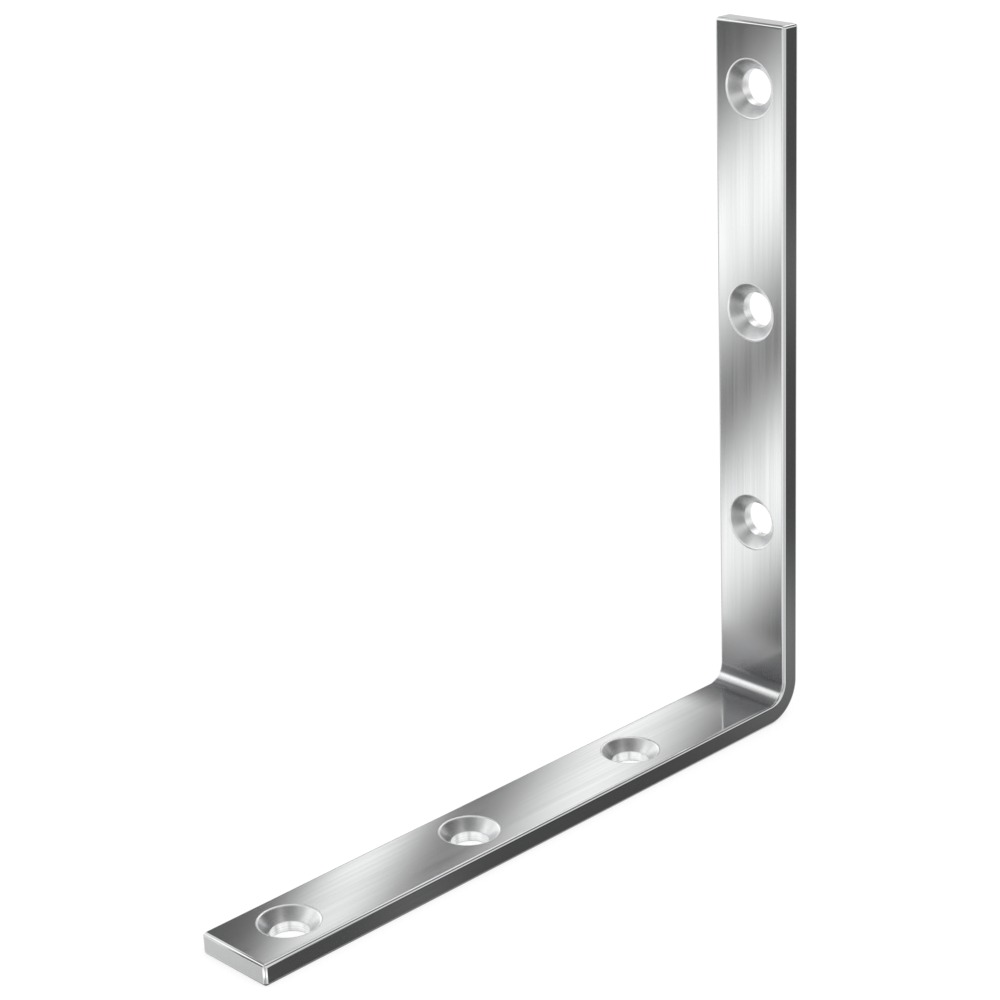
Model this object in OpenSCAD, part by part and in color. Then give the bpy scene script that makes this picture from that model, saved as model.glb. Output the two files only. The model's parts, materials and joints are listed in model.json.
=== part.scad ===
// Heavy-duty angle bracket: one length of flat steel bar, bent once to a right angle.
// Both legs are drilled for countersunk screws, with the countersinks on the inside of the angle.
// The base leg lies along +X and the wall leg stands along +Z. The origin is the heel,
// where the planes of the two outer faces meet, in the middle of the bar's width.

/* [Bar] */
// Width of the bar
bar_w = 18; // [15.5:0.5:40]
// Thickness of the bar
bar_t = 4.5; // [3:0.25:6]
// Rounding of the bar's edges
edge_r = 0.7; // [0.2:0.1:1.2]

/* [Legs] */
// Base leg, from the heel to its end
base_leg = 150; // [125:1:300]
// Wall leg, from the heel to its end
wall_leg = 150; // [125:1:300]
// Radius on the inside of the bend
bend_r = 4; // [1:0.5:10]

/* [Screw holes] */
// Number of holes in each leg
hole_count = 3; // [1:1:3]
// From one hole to the next along a leg
hole_pitch = 46.5; // [20:0.5:48]
// From the end of a leg to the middle of its outermost hole
end_margin = 13.5; // [8:0.5:15]
// Diameter of the straight part of each hole
hole_d = 7.5; // [5:0.1:8.5]
// Diameter of the countersink's mouth on the inner face
mouth_d = 12.5; // [11.5:0.1:13.5]
// Angle of the countersink's cone, across its point
cone_angle = 90; // [82:1:100]
// Width of the burnished rim round the mouth
rim_w = 0.45; // [0.1:0.05:0.6]
// Deburring of the hole's edge on the outer face
deburr = 0.3; // [0.1:0.05:0.4]

/* [Hidden] */
// Radius on the outside of the bend, and where each leg leaves it
heel_r = bend_r + bar_t;
hole_r = hole_d / 2;
// The cone widens by this much for each millimetre of depth, and the rim slopes half as steeply
cone_slope = tan(cone_angle / 2);
rim_slope = 1 / tan((90 - cone_angle / 2) / 2);
cone_top_r = mouth_d / 2 - rim_w;
cone_top_z = bar_t - rim_w / rim_slope;
cone_bottom_z = cone_top_z - (cone_top_r - hole_r) / cone_slope;
// How far a cutter runs past the face that it cuts
overrun = 1;
// Facets of a full turn on the bend, the holes and the edges
bend_facets = 128;
hole_facets = 72;
edge_facets = 32;

// A rectangle from the origin's Y axis to x = length, with its two far corners rounded
module end_outline(length, across) {
    square_w = across - 2 * edge_r;
    translate([0, -across / 2]) square([length - edge_r, across]);
    translate([0, -square_w / 2]) square([length, square_w]);
    for (side = [-1, 1])
        translate([length - edge_r, side * square_w / 2])
            circle(r = edge_r, $fn = edge_facets);
}

// The bar's section, with its four edges rounded: X is the thickness and Y the width
module bar_section() {
    translate([0, -bar_w / 2 + edge_r]) square([bar_t, bar_w - 2 * edge_r]);
    translate([edge_r, -bar_w / 2]) square([bar_t - 2 * edge_r, bar_w]);
    for (x = [edge_r, bar_t - edge_r], side = [-1, 1])
        translate([x, side * (bar_w / 2 - edge_r)])
            circle(r = edge_r, $fn = edge_facets);
}

// One straight leg along +X, with its outer face on z = 0 and its end rounded on every edge
module straight_leg(length) {
    intersection() {
        translate([heel_r, 0, bar_t])
            rotate([0, 90, 0])
                linear_extrude(height = length - heel_r) bar_section();
        linear_extrude(height = bar_t) end_outline(length, bar_w);
        translate([0, 0, bar_t / 2])
            rotate([90, 0, 0])
                linear_extrude(height = bar_w, center = true) end_outline(length, bar_t);
    }
}

// The quarter turn that joins the legs
module bend() {
    translate([heel_r, 0, heel_r])
        rotate([90, 0, 0])
            rotate([0, 0, 180])
                rotate_extrude(angle = 90, $fn = bend_facets)
                    translate([bend_r, 0]) bar_section();
}

// A cutter for one screw hole: it comes in at the outer face on z = 0,
// and its countersink opens on the inner face on z = bar_t
module screw_hole() {
    rotate_extrude($fn = hole_facets)
        polygon([
            [0, -overrun],
            [hole_r + deburr + overrun, -overrun],
            [hole_r, deburr],
            [hole_r, cone_bottom_z],
            [cone_top_r, cone_top_z],
            [mouth_d / 2 + overrun * rim_slope, bar_t + overrun],
            [0, bar_t + overrun]
        ]);
}

// The row of holes in one leg, counted from the leg's end
module hole_row(length) {
    for (i = [0 : hole_count - 1])
        translate([length - end_margin - i * hole_pitch, 0, 0]) screw_hole();
}

// A drilled leg, ready to be stood up or laid down
module leg(length) {
    difference() {
        straight_leg(length);
        hole_row(length);
    }
}

module angle_bracket() {
    color("silver")
        union() {
            leg(base_leg);
            bend();
            // The wall leg is the base leg turned over the diagonal of the angle
            rotate([0, -90, 0]) mirror([0, 0, 1]) leg(wall_leg);
        }
}

angle_bracket();
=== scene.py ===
import json
from math import atan2, cos, hypot, radians, sin, tan

import bmesh
import bpy
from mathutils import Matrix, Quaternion, Vector


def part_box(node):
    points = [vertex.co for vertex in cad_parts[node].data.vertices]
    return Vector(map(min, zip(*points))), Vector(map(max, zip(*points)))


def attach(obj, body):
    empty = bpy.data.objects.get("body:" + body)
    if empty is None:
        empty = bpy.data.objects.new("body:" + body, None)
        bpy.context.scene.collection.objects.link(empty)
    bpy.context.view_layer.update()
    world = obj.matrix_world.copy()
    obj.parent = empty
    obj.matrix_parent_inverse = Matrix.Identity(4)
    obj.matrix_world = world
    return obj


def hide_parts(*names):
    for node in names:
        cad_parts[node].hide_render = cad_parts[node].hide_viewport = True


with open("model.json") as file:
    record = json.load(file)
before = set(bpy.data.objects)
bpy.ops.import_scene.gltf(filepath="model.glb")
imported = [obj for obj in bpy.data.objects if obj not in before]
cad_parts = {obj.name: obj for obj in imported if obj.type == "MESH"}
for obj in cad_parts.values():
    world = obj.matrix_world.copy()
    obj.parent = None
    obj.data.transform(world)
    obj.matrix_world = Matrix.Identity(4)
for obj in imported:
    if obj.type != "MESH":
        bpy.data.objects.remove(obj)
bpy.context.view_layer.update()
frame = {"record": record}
lowCorner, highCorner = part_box("angle_bracket")

bar = {
    "width": highCorner.y - lowCorner.y,
    "baseLeg": highCorner.x,
    "wallLeg": highCorner.z,
    "thickness": 0.0045,
    "insideBend": 0.004,
    "edgeRounding": 0.0007,
    "bendSteps": 30,
    "edgeSteps": 6,
}
heel = bar["insideBend"] + bar["thickness"]  # outside radius of the bend
sharpAngle = radians(40)  # the bar's corners turn by more than this, its curves by less
sameSpot = 1e-6  # points nearer to each other than this are one
straightAlong = 0.99999  # a direction with a part above this points along an axis

screwHole = {
    "radius": 0.00375,
    "mouthRadius": 0.00625,
    "rimWidth": 0.00045,
    "coneSlant": radians(45),
    "throatRounding": 0.00015,
    "deburring": 0.0003,
    "segments": 96,
    "rimSteps": 4,
    "throatSteps": 3,
    "deburringSteps": 4,
}
# how far along its leg each hole lies, from the frame's own mounts
holePlaces = {"base": [], "wall": []}
for mount in frame["record"]["mounts"]:
    if mount["kind"] == "bore":
        onBase = mount["axis"][2] > straightAlong
        holePlaces["base" if onBase else "wall"].append(mount["pos_m"][0 if onBase else 2])


def onlyThis(piece):
    bpy.ops.object.select_all(action="DESELECT")
    bpy.context.view_layer.objects.active = piece
    piece.select_set(True)


def applyPlace(piece):
    onlyThis(piece)
    bpy.ops.object.transform_apply(location=True, rotation=True, scale=True)


def startEditing(piece, mode="FACE"):
    onlyThis(piece)
    bpy.ops.object.mode_set(mode="EDIT")
    bpy.ops.mesh.select_mode(type=mode)
    bpy.ops.mesh.select_all(action="DESELECT")


def stopEditing():
    bpy.ops.object.mode_set(mode="OBJECT")


# kind is verts, edges or faces
def selectWhere(piece, kind, wanted):
    shape = bmesh.from_edit_mesh(piece.data)
    for element in getattr(shape, kind):
        if wanted(element):
            element.select_set(True)
    bmesh.update_edit_mesh(piece.data)


# a block for the base leg, spun round the bend and drawn up for the wall leg
def bendBar():
    baseRun = bar["baseLeg"] - heel
    bpy.ops.object.select_all(action="DESELECT")
    bpy.ops.mesh.primitive_cube_add(
        size=1,
        location=(heel + baseRun / 2, 0, bar["thickness"] / 2),
        scale=(baseRun, bar["width"], bar["thickness"]),
    )
    piece = bpy.context.object
    piece.name = "steel_bar"
    applyPlace(piece)
    startEditing(piece)
    selectWhere(piece, "faces", lambda face: face.normal.x < -straightAlong)
    bpy.ops.mesh.spin(
        steps=bar["bendSteps"], angle=radians(90), center=(heel, 0, heel), axis=(0, -1, 0)
    )
    bpy.ops.mesh.extrude_region_move(
        TRANSFORM_OT_translate={"value": (0, 0, bar["wallLeg"] - heel)}
    )
    bpy.ops.mesh.select_all(action="SELECT")
    bpy.ops.mesh.normals_make_consistent(inside=False)

    # round the long edges and both ends
    bpy.ops.mesh.select_mode(type="EDGE")
    bpy.ops.mesh.select_all(action="DESELECT")
    bpy.ops.mesh.edges_select_sharp(sharpness=sharpAngle)
    bpy.ops.mesh.bevel(
        offset=bar["edgeRounding"], segments=bar["edgeSteps"], profile=0.5,
        affect="EDGES", clamp_overlap=False,
    )
    stopEditing()
    return piece


# cuts a square round each hole's place and opens it on both faces of the bar
def openHolePlaces(piece):
    startEditing(piece)
    halfSquare = bar["width"] / 2 - bar["edgeRounding"]
    for leg, along in (("base", Vector((1, 0, 0))), ("wall", Vector((0, 0, 1)))):
        for place in holePlaces[leg]:
            for side in (-1, 1):
                bpy.ops.mesh.select_all(action="SELECT")
                bpy.ops.mesh.bisect(
                    plane_co=along * (place + side * halfSquare), plane_no=along,
                    threshold=sameSpot,
                )
            bpy.ops.mesh.select_mode(type="FACE")
            bpy.ops.mesh.select_all(action="DESELECT")
            selectWhere(piece, "faces", lambda face: (
                abs(face.calc_center_median().dot(along) - place) < halfSquare / 2
                and abs(face.calc_center_median().y) < halfSquare / 2
            ))
            bpy.ops.mesh.delete(type="ONLY_FACE")
    stopEditing()


# an angle in equal steps, from 0 up to the whole of it
def stepsOf(angle, count):
    return [angle * step / count for step in range(count + 1)]


# radius and height of each ring, from the mouth on the inner face down to the outer face
def holeProfile():
    cone = screwHole["coneSlant"]
    rimCurve = screwHole["rimWidth"] / sin(cone)
    points = [
        (screwHole["mouthRadius"] - rimCurve * sin(turn),
         bar["thickness"] - rimCurve * (1 - cos(turn)))
        for turn in stepsOf(cone, screwHole["rimSteps"])
    ]
    throat = screwHole["throatRounding"]
    coneRadius, coneHeight = points[-1]
    throatHeight = coneHeight - (coneRadius - screwHole["radius"]) / tan(cone)
    points += [
        (screwHole["radius"] + throat * (1 - cos(turn)),
         throatHeight + throat * (sin(turn) - tan(cone / 2)))
        for turn in reversed(stepsOf(cone, screwHole["throatSteps"]))
    ]
    deburring = screwHole["deburring"]
    points += [
        (screwHole["radius"] + deburring * (1 - cos(turn)), deburring * (1 - sin(turn)))
        for turn in stepsOf(radians(90), screwHole["deburringSteps"])
    ]
    return points


# a ring at the mouth, drawn down through the bar and narrowed as it goes
def makeHoleLining():
    profile = holeProfile()
    bpy.ops.object.select_all(action="DESELECT")
    bpy.ops.mesh.primitive_circle_add(
        vertices=screwHole["segments"], radius=profile[0][0], fill_type="NOTHING",
        location=(0, 0, profile[0][1]),
    )
    piece = bpy.context.object
    piece.name = "hole_lining"
    applyPlace(piece)
    startEditing(piece, "EDGE")
    bpy.ops.mesh.select_all(action="SELECT")
    for (radius, height), (nextRadius, nextHeight) in zip(profile, profile[1:]):
        bpy.ops.mesh.extrude_region_move(
            TRANSFORM_OT_translate={"value": (0, 0, nextHeight - height)}
        )
        narrowing = nextRadius / radius
        bpy.ops.transform.resize(
            value=(narrowing, narrowing, 1), center_override=(0, 0, nextHeight)
        )
    stopEditing()
    return piece


# stores each point's radius and height added up, which tells the cutter's rings apart
def markTravel(piece):
    travel = piece.data.attributes.new("toolTravel", "FLOAT", "POINT")
    for index, vert in enumerate(piece.data.vertices):
        travel.data[index].value = vert.co.xy.length + vert.co.z


def drillHoles(barPiece, finish):
    openHolePlaces(barPiece)
    pattern = makeHoleLining()
    pattern.data.materials.append(finish)
    markTravel(pattern)
    linings = []
    for leg in ("base", "wall"):
        for place in holePlaces[leg]:
            onlyThis(pattern)
            bpy.ops.object.duplicate(linked=False)
            lining = bpy.context.object
            if leg == "base":
                lining.location = (place, 0, 0)
            else:
                lining.rotation_euler = (0, radians(90), 0)
                lining.location = (0, 0, place)
            applyPlace(lining)
            linings.append(lining)
    bpy.data.objects.remove(pattern)

    # join them to the bar, then close its faces round both rims of each hole
    onlyThis(barPiece)
    for lining in linings:
        lining.select_set(True)
    bpy.ops.object.join()
    startEditing(barPiece, "EDGE")
    for leg, along, across in (("base", 0, 2), ("wall", 2, 0)):
        for place in holePlaces[leg]:
            for face in (0, bar["thickness"]):
                bpy.ops.mesh.select_all(action="DESELECT")
                selectWhere(barPiece, "edges", lambda edge: edge.is_boundary and all(
                    abs(vert.co[across] - face) < sameSpot
                    and abs(vert.co[along] - place) < bar["width"]
                    for vert in edge.verts
                ))
                bpy.ops.mesh.fill(use_beauty=True)
    bpy.ops.mesh.select_all(action="SELECT")
    bpy.ops.mesh.remove_doubles(threshold=sameSpot)
    bpy.ops.mesh.normals_make_consistent(inside=False)
    stopEditing()


# smooth shading, with the bar's flat faces kept truly flat up to the rims and rounded edges
def smoothBar(piece):
    onlyThis(piece)
    bpy.ops.object.shade_smooth_by_angle(angle=sharpAngle)
    startEditing(piece)
    selectWhere(piece, "faces", lambda face: (
        face.material_index == 0 and max(abs(part) for part in face.normal) > straightAlong
    ))
    bpy.ops.mesh.set_normals_from_faces(keep_sharp=True)
    stopEditing()


# stores how far each point lies along the bar, across it and in from its outer face
def markRun(piece):
    bendRun = radians(90) * (bar["insideBend"] + bar["thickness"] / 2)
    run = piece.data.attributes.new("barRun", "FLOAT_VECTOR", "POINT")
    for index, vert in enumerate(piece.data.vertices):
        x, y, z = vert.co
        if x > heel:
            along = x - heel + bendRun / 2
        elif z > heel:
            along = heel - z - bendRun / 2
        else:
            along = bendRun * (0.5 - atan2(heel - x, heel - z) / radians(90))
        depth = heel - hypot(max(heel - x, 0), max(heel - z, 0))
        run.data[index].vector = (along, y, depth)


def addNode(tree, kind, inputs=None, **settings):
    node = tree.nodes.new(kind)
    for name, value in settings.items():
        setattr(node, name, value)
    for name, value in (inputs or {}).items():
        if isinstance(value, bpy.types.NodeSocket):
            tree.links.new(value, node.inputs[name])
        else:
            node.inputs[name].default_value = value
    return node


# 1 as far as the first distance either way, 0 from the second one on
def fadeOut(tree, value, full, gone):
    distance = addNode(tree, "ShaderNodeMath", operation="ABSOLUTE", inputs={0: value})
    return addNode(tree, "ShaderNodeMapRange", interpolation_type="SMOOTHSTEP", inputs={
        "Value": distance.outputs[0], "From Min": full, "From Max": gone,
        "To Min": 1, "To Max": 0,
    }).outputs[0]


def multiply(tree, first, second):
    return addNode(tree, "ShaderNodeMath", operation="MULTIPLY", inputs={
        0: first, 1: second,
    }).outputs[0]


# noise drawn out to a size along the bar, across it and into it
def stretchedNoise(tree, place, size, detail):
    scaled = addNode(tree, "ShaderNodeVectorMath", operation="DIVIDE", inputs={0: place, 1: size})
    return addNode(tree, "ShaderNodeTexNoise", inputs={
        "Vector": scaled.outputs[0], "Scale": 1, "Detail": detail,
    })


noiseRange = (0.3, 0.7)  # where nearly all of a noise texture's values lie


# a finish's tone and roughness, from dull and rough to bright and smooth as the value rises
def toneAndPolish(tree, value, finish):
    tone = addNode(tree, "ShaderNodeValToRGB", inputs={"Fac": value})
    for end, name in enumerate(("dull", "bright")):
        tone.color_ramp.elements[end].position = noiseRange[end]
        tone.color_ramp.elements[end].color = finish[name]
    polish = addNode(tree, "ShaderNodeMapRange", inputs={
        "Value": value, "From Min": noiseRange[0], "From Max": noiseRange[1],
        "To Min": finish["roughest"], "To Max": finish["smoothest"],
    })
    return tone.outputs[0], polish.outputs[0]


def newMaterial(name):
    material = bpy.data.materials.new(name)
    material.use_nodes = True
    return material, material.node_tree, material.node_tree.nodes["Principled BSDF"]


plating = {
    "dull": (0.71, 0.715, 0.72, 1),
    "bright": (0.775, 0.78, 0.785, 1),
    "smoothest": 0.065,
    "roughest": 0.095,
    "streakSize": (0.06, 0.0006, 0.0006),
    "streakDetail": 3,
    "streakContrast": 0.6,
    "streakHeight": 0.0000003,
    "patchSize": (0.08, 0.005, 0.005),
    "patchDetail": 2,
    "patchShare": 0.35,
    "waveSize": (0.04, 0.04, 0.04),
    "waveHeight": 0.00001,
    "bendFrom": 0.004,
    "bendTo": 0.017,
    "bendDepth": 0.004,
    # painted shade: the colour that darkens the inside of the bend
    "bendPaintedShade": (0.4, 0.4, 0.41, 1),
    "bendRoughness": 0.2,
    # the strip down the middle of the bend that the painted shade leaves out, a painted highlight
    "highlightStripFrom": 0.0007,
    "highlightStripTo": 0.0018,
    "edgeStrip": 0.0008,
}


# zinc plate over a bar polished along its length: fine streaks and slow patches that follow it
def makePlating():
    material, tree, shader = newMaterial("brightZincPlate")
    run = addNode(tree, "ShaderNodeAttribute", attribute_name="barRun").outputs["Vector"]
    streaks = stretchedNoise(tree, run, plating["streakSize"], plating["streakDetail"])
    streaks.inputs["Roughness"].default_value = plating["streakContrast"]
    patches = stretchedNoise(tree, run, plating["patchSize"], plating["patchDetail"])
    both = addNode(tree, "ShaderNodeMix", data_type="FLOAT", inputs={
        "Factor": plating["patchShare"], "A": streaks.outputs[0], "B": patches.outputs[0]})
    tone, polish = toneAndPolish(tree, both.outputs[0], plating)

    # painted shade: the inside of the bend is coloured darker near the bend, and made less smooth,
    # but not its rounded edges
    parts = addNode(tree, "ShaderNodeSeparateXYZ", inputs={"Vector": run}).outputs
    halfWidth = bar["width"] / 2
    onFace = fadeOut(tree, parts["Y"], halfWidth - plating["edgeStrip"], halfWidth)
    inside = addNode(tree, "ShaderNodeMath", operation="GREATER_THAN", inputs={
        0: parts["Z"], 1: plating["bendDepth"]})
    bent = fadeOut(tree, parts["X"], plating["bendFrom"], plating["bendTo"])
    bent = multiply(tree, multiply(tree, bent, onFace), inside.outputs[0])
    # a strip down the middle is left out of the painted shade, a painted highlight along the bend
    paintedHighlightStrip = fadeOut(tree, parts["X"], plating["highlightStripFrom"], plating["highlightStripTo"])
    plain = addNode(tree, "ShaderNodeMath", operation="SUBTRACT", inputs={0: 1, 1: paintedHighlightStrip})
    # the painted shade near the bend is multiplied into the colour here
    colour = addNode(tree, "ShaderNodeMix", data_type="RGBA", blend_type="MULTIPLY", inputs={
        "Factor": multiply(tree, bent, plain.outputs[0]), "A": tone, "B": plating["bendPaintedShade"]})
    roughness = addNode(tree, "ShaderNodeMath", operation="MULTIPLY_ADD", inputs={
        0: bent, 1: plating["bendRoughness"], 2: polish})

    waves = stretchedNoise(tree, run, plating["waveSize"], 0)
    waveBump = addNode(tree, "ShaderNodeBump", inputs={
        "Height": waves.outputs[0], "Strength": 1, "Distance": plating["waveHeight"]})
    streakBump = addNode(tree, "ShaderNodeBump", inputs={
        "Height": streaks.outputs[0], "Strength": 1, "Distance": plating["streakHeight"],
        "Normal": waveBump.outputs[0]})
    tree.links.new(colour.outputs["Result"], shader.inputs["Base Color"])
    tree.links.new(roughness.outputs[0], shader.inputs["Roughness"])
    tree.links.new(streakBump.outputs[0], shader.inputs["Normal"])
    shader.inputs["Metallic"].default_value = 1
    return material


countersink = {
    # the cut's tone, varied by the rings, lies a little below the plating's as painted shade in the
    # hollow
    "dull": (0.65, 0.655, 0.66, 1),
    "bright": (0.73, 0.735, 0.74, 1),
    "smoothest": 0.27,
    "roughest": 0.35,
    "ringSpacing": 0.00018,
    "ringDetail": 2,
    "ringHeight": 0.000002,
    # painted reflection: the throat's near-white colour
    "throatPaintedReflection": (0.95, 0.955, 0.96, 1),
    "throatMetallic": 0.5,
    "throatTop": 0.0058,
    # painted highlight: the rim's lighter colour
    "rimPaintedHighlight": (0.86, 0.865, 0.87, 1),
    "rimBottom": 0.0102,
    "blend": 0.0003,
}


# the cutter leaves rings round each hole, its tone a little darker than the plating as painted
# shade in the hollow; the straight throat is painted paler as a painted reflection, and the rim
# painted lighter as a painted highlight
def makeCountersink():
    material, tree, shader = newMaterial("turnedCountersink")
    travel = addNode(tree, "ShaderNodeAttribute", attribute_name="toolTravel").outputs["Fac"]
    ringPlace = addNode(tree, "ShaderNodeMath", operation="DIVIDE", inputs={
        0: travel, 1: countersink["ringSpacing"]})
    rings = addNode(tree, "ShaderNodeTexNoise", noise_dimensions="1D", inputs={
        "W": ringPlace.outputs[0], "Scale": 1, "Detail": countersink["ringDetail"]})
    tone, polish = toneAndPolish(tree, rings.outputs[0], countersink)
    blend = countersink["blend"]
    throatTop = countersink["throatTop"]
    inThroat = fadeOut(tree, travel, throatTop, throatTop + blend)
    rimBottom = countersink["rimBottom"]
    belowRim = fadeOut(tree, travel, rimBottom - blend, rimBottom)
    # the throat's painted reflection goes into the colour here
    colour = addNode(tree, "ShaderNodeMix", data_type="RGBA", inputs={
        "Factor": inThroat, "A": tone, "B": countersink["throatPaintedReflection"]})
    # the rim's painted highlight goes into the colour here
    colour = addNode(tree, "ShaderNodeMix", data_type="RGBA", inputs={
        "Factor": belowRim, "A": countersink["rimPaintedHighlight"], "B": colour.outputs["Result"]})
    metallic = addNode(tree, "ShaderNodeMapRange", inputs={
        "Value": inThroat, "To Min": 1, "To Max": countersink["throatMetallic"]})
    bump = addNode(tree, "ShaderNodeBump", inputs={
        "Height": rings.outputs[0], "Strength": 1, "Distance": countersink["ringHeight"]})
    tree.links.new(colour.outputs["Result"], shader.inputs["Base Color"])
    tree.links.new(polish, shader.inputs["Roughness"])
    tree.links.new(metallic.outputs[0], shader.inputs["Metallic"])
    tree.links.new(bump.outputs[0], shader.inputs["Normal"])
    return material


steelBar = bendBar()
steelBar.data.materials.append(makePlating())
print("bar bent:", len(steelBar.data.polygons), "faces")
drillHoles(steelBar, makeCountersink())
smoothBar(steelBar)
markRun(steelBar)
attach(steelBar, "root")
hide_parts("angle_bracket")
print("holes drilled:", len(steelBar.data.polygons), "faces")

# where the photographer stood; angles in degrees, azimuth 0 looking along +Y
cameraSetup = {
    "azimuth": 136.226,
    "elevation": 21.1,
    "roll": -2.374,
    "distance": 0.575365,
    "aim": (0.0291, -0.05101, 0.04329),
    "lens": 94.445,
}


def placeCamera():
    azimuth = radians(cameraSetup["azimuth"])
    elevation = radians(cameraSetup["elevation"])
    back = Vector((
        sin(azimuth) * cos(elevation), -cos(azimuth) * cos(elevation), sin(elevation)
    ))
    bpy.ops.object.camera_add(location=Vector(cameraSetup["aim"]) + back * cameraSetup["distance"])
    camera = bpy.context.object
    camera.rotation_mode = "QUATERNION"
    level = (-back).to_track_quat("-Z", "Y")
    camera.rotation_quaternion = level @ Quaternion((0, 0, 1), radians(cameraSetup["roll"]))
    camera.data.lens = cameraSetup["lens"]
    bpy.context.scene.camera = camera


stage = {
    "floorSize": 8,
    "floorColour": (0.35, 0.35, 0.35, 1),
    "floorGlow": 0.67,
    "lampPlace": (0.1, 0.55, 0.9),
    "lampSize": 0.7,
    "lampPower": 2.0,
}


# a white sweep that only keeps the bracket's soft shadow; what the metal mirrors is below
def makeFloor():
    bpy.ops.mesh.primitive_plane_add(size=stage["floorSize"])
    floor = bpy.context.object
    floor.name = "floor"
    floor.visible_glossy = False
    material, tree, shader = newMaterial("whiteSweep")
    tree.nodes.remove(shader)
    shade = addNode(tree, "ShaderNodeBsdfDiffuse", inputs={"Color": stage["floorColour"]})
    glow = addNode(tree, "ShaderNodeEmission", inputs={"Strength": stage["floorGlow"]})
    both = addNode(tree, "ShaderNodeAddShader", inputs={0: shade.outputs[0], 1: glow.outputs[0]})
    tree.links.new(both.outputs[0], tree.nodes["Material Output"].inputs["Surface"])
    floor.data.materials.append(material)


def makeLamp():
    bpy.ops.object.light_add(type="AREA", location=stage["lampPlace"])
    lamp = bpy.context.object
    lamp.data.shape = "DISK"
    lamp.data.size = stage["lampSize"]
    lamp.data.energy = stage["lampPower"]
    lamp.rotation_euler = Vector(stage["lampPlace"]).to_track_quat("Z", "Y").to_euler()
    lamp.visible_glossy = False


# soft lights and dark flags round the bracket, as its metal mirrors them; each card covers
# what is above it in the list. In degrees: azimuth from +X towards +Y, elevation from level,
# turn of its length from level, half length, half breadth and softness; then its brightness
studioCards = {
    "underFlag": (0, -75, 0, 200, 30, 8, 0.15),
    "underBackFlag": (-120, -44, 0, 18, 12, 6, 0.12),
    "backLight": (-130, -20, 0, 16, 9, 5, 1.25),
    "backEdgeCard": (-162, -20, 0, 16, 12, 5, 0.9),
    "backFlag": (-166, 3, 0, 12, 7, 4, 0.25),
    "outerFaceFlag": (-138, -12, -40, 14, 2.0, 2.0, 0.3),
    "rearFlag": (176, -15, 50, 16, 3, 3, 0.3),
    "rearSideFlag": (-88, -15, 0, 15, 10, 4, 0.35),
    "rearSideLight": (-88, -15, 48, 14, 2.5, 2.5, 1.2),
    "topEndCard": (-140, 11, 0, 9, 6, 4, 0.72),
    "overheadFlag": (142, 45, -29, 44, 13, 6, 0.05),
    "overheadShade": (45, 62, 0, 46, 13, 8, 0.12),
    "frontShade": (5, 47, 0, 34, 10, 8, 0.5),
    "ceilingFlag": (-35, 72, 30, 30, 5, 5, 0.35),
    "bevelLight": (4, -18, 0, 34, 12, 8, 1.1),
    "bevelFlag": (-4, -15, 60, 18, 2, 2, 0.35),
    "throatLight": (40, -29, 0, 78, 3.5, 2, 1.5),
    "coneDip": (50, -20, 0, 8, 36, 4, 0.08),
    "coneLowDip": (12, -42, 0, 16, 8, 3, 0.3),
    "frontFlag": (90, -15, 48, 18, 4, 4, 0.3),
    "sideFlag": (134.5, -18, 0, 12, 22, 4, 0.08),
    "sideGlowHigh": (140.6, -16.2, 0, 4, 1.2, 1.2, 0.15),
    "sideGlowLow": (140.6, -24.3, 0, 2.5, 1.5, 1.5, 0.22),
    "sideGlowNear": (131.3, -29.5, 0, 0.8, 3, 1.2, 0.17),
    "coneLight": (-92, 12, 0, 20, 18, 6, 1.35),
    "coneHighLight": (-20, 33, 0, 10, 8, 4, 1.25),
    "coneInnerDip": (4, 16, 0, 12, 8, 5, 0.5),
    "bendLight": (-50, 36, 43, 15, 8, 4, 1.55),
    "bendFlag": (-83, 53, 0, 18, 6, 2.5, 0.2),
    "bendLowFlag": (-122, 46, 30, 17, 5, 3, 0.15),
    "bendUpperFlag": (-34, 8, 0, 10, 21, 2, 0.2),
    "endCard": (-53, -33, 0, 6, 3, 3, 0.55),
    "wallFlag": (-40.3, -18.5, 0, 6, 11, 2, 0.11),
    "wallHighLight": (-40.3, -14.7, 48, 9, 1.34, 1.14, 1.34),
    "wallLowLight": (-40.3, -21.5, 48, 9, 1.17, 0.94, 1.3),
    "baseFlag": (-134, 28, 0, 13, 12, 2, 0.12),
    "nearEdgeLight": (-165, 42, 0, 18, 9, 3, 1.6),
    "baseInnerLight": (-135.7, 27.5, 55, 9, 1.15, 1.15, 1.27),
    "baseOuterLight": (-129.5, 29.5, 55, 9, 0.83, 0.7, 1.27),
}
openLevel = 0.9  # what the metal sees where no card stands
cardInputs = (
    "cardAzimuth", "cardElevation", "turn", "halfLength", "halfBreadth", "softness", "level"
)


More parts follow.
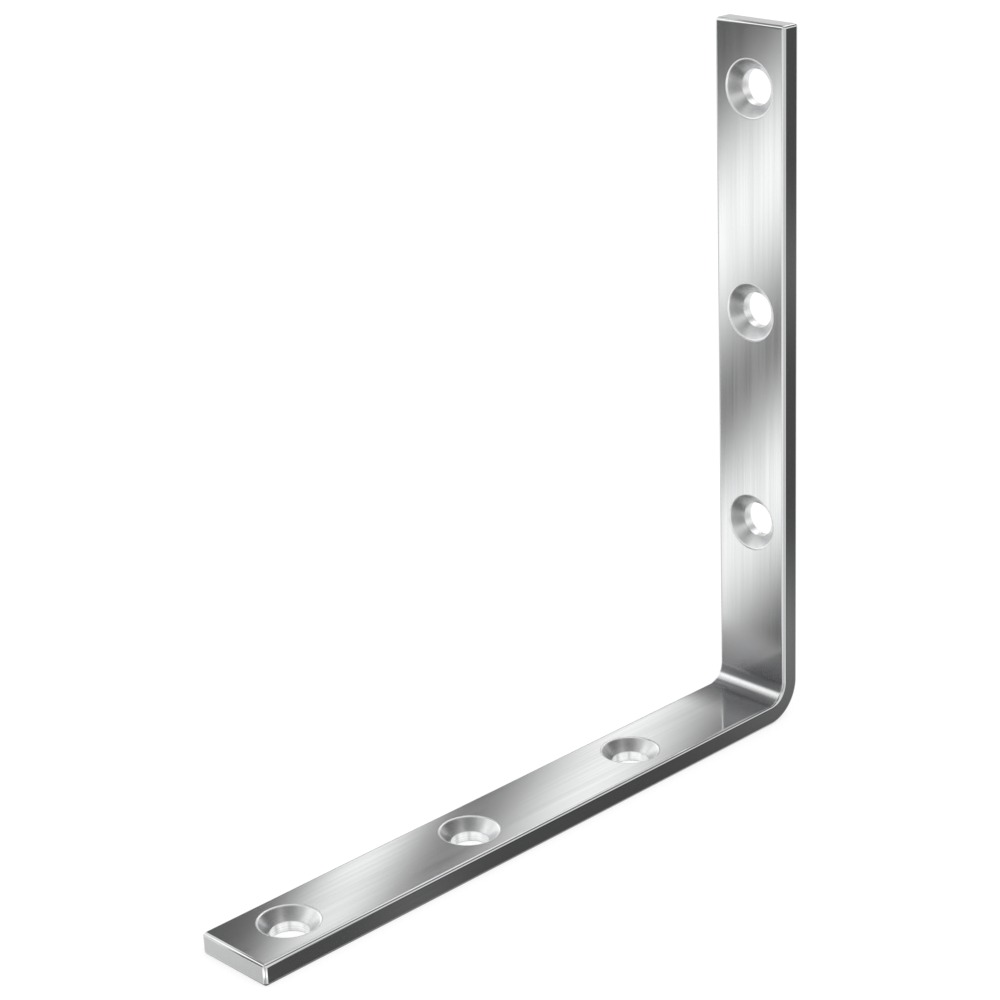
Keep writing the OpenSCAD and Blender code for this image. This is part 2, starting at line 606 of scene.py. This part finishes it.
# one node group for a card: it covers the level under it with its own, softly at its edges
def makeCardGroup():
    group = bpy.data.node_groups.new("softCard", "ShaderNodeTree")
    for name in ("under", "azimuth", "elevation") + cardInputs:
        group.interface.new_socket(name, in_out="INPUT", socket_type="NodeSocketFloat")
    group.interface.new_socket("level", in_out="OUTPUT", socket_type="NodeSocketFloat")
    given = addNode(group, "NodeGroupInput").outputs

    def maths(operation, *values):
        return addNode(group, "ShaderNodeMath", operation=operation,
                       inputs=dict(enumerate(values))).outputs[0]

    def softEdge(offset, half):
        return addNode(group, "ShaderNodeMapRange", interpolation_type="SMOOTHSTEP", inputs={
            "Value": maths("ABSOLUTE", offset),
            "From Min": maths("ADD", half, given["softness"]),
            "From Max": maths("SUBTRACT", half, given["softness"]),
        }).outputs[0]

    sideways = maths("WRAP", maths("SUBTRACT", given["azimuth"], given["cardAzimuth"]), 180, -180)
    upwards = maths("SUBTRACT", given["elevation"], given["cardElevation"])
    turn = maths("RADIANS", given["turn"])
    turnCosine = maths("COSINE", turn)
    turnSine = maths("SINE", turn)
    lengthways = maths("ADD", maths("MULTIPLY", sideways, turnCosine),
                       maths("MULTIPLY", upwards, turnSine))
    crossways = maths("SUBTRACT", maths("MULTIPLY", upwards, turnCosine),
                      maths("MULTIPLY", sideways, turnSine))
    cover = maths("MULTIPLY", softEdge(lengthways, given["halfLength"]),
                  softEdge(crossways, given["halfBreadth"]))
    mixed = addNode(group, "ShaderNodeMix", data_type="FLOAT", inputs={
        "Factor": cover, "A": given["under"], "B": given["level"]})
    addNode(group, "NodeGroupOutput", inputs={"level": mixed.outputs[0]})
    return group


def makeStudio():
    world = bpy.data.worlds.new("studio")
    bpy.context.scene.world = world
    world.use_nodes = True
    world.cycles.sampling_method = "NONE"
    tree = world.node_tree
    group = makeCardGroup()
    place = addNode(tree, "ShaderNodeTexCoord").outputs["Generated"]
    parts = addNode(tree, "ShaderNodeSeparateXYZ", inputs={"Vector": place}).outputs

    def inDegrees(operation, *values):
        angle = addNode(tree, "ShaderNodeMath", operation=operation, inputs=dict(enumerate(values)))
        return addNode(tree, "ShaderNodeMath", operation="DEGREES", inputs={
            0: angle.outputs[0],
        }).outputs[0]

    azimuth = inDegrees("ARCTAN2", parts["Y"], parts["X"])
    elevation = inDegrees("ARCSINE", parts["Z"])
    level = openLevel
    for name, settings in studioCards.items():
        card = addNode(tree, "ShaderNodeGroup", node_tree=group, label=name, inputs={
            "under": level,
            "azimuth": azimuth,
            "elevation": elevation,
            **dict(zip(cardInputs, settings)),
        })
        level = card.outputs[0]
    # only what the metal mirrors is this studio; the camera and the floor see plain white
    cards = tree.nodes["Background"]
    cards.inputs["Color"].default_value = (1, 1, 1, 1)
    tree.links.new(level, cards.inputs["Strength"])
    white = addNode(tree, "ShaderNodeBackground", inputs={"Color": (1, 1, 1, 1)})
    either = addNode(tree, "ShaderNodeMixShader", inputs={
        0: addNode(tree, "ShaderNodeLightPath").outputs["Is Glossy Ray"],
        1: white.outputs[0],
        2: cards.outputs[0],
    })
    tree.links.new(either.outputs[0], tree.nodes["World Output"].inputs["Surface"])


placeCamera()
makeFloor()
makeLamp()
makeStudio()
bpy.context.scene.view_settings.view_transform = "Standard"
print("studio ready:", len(studioCards), "cards")
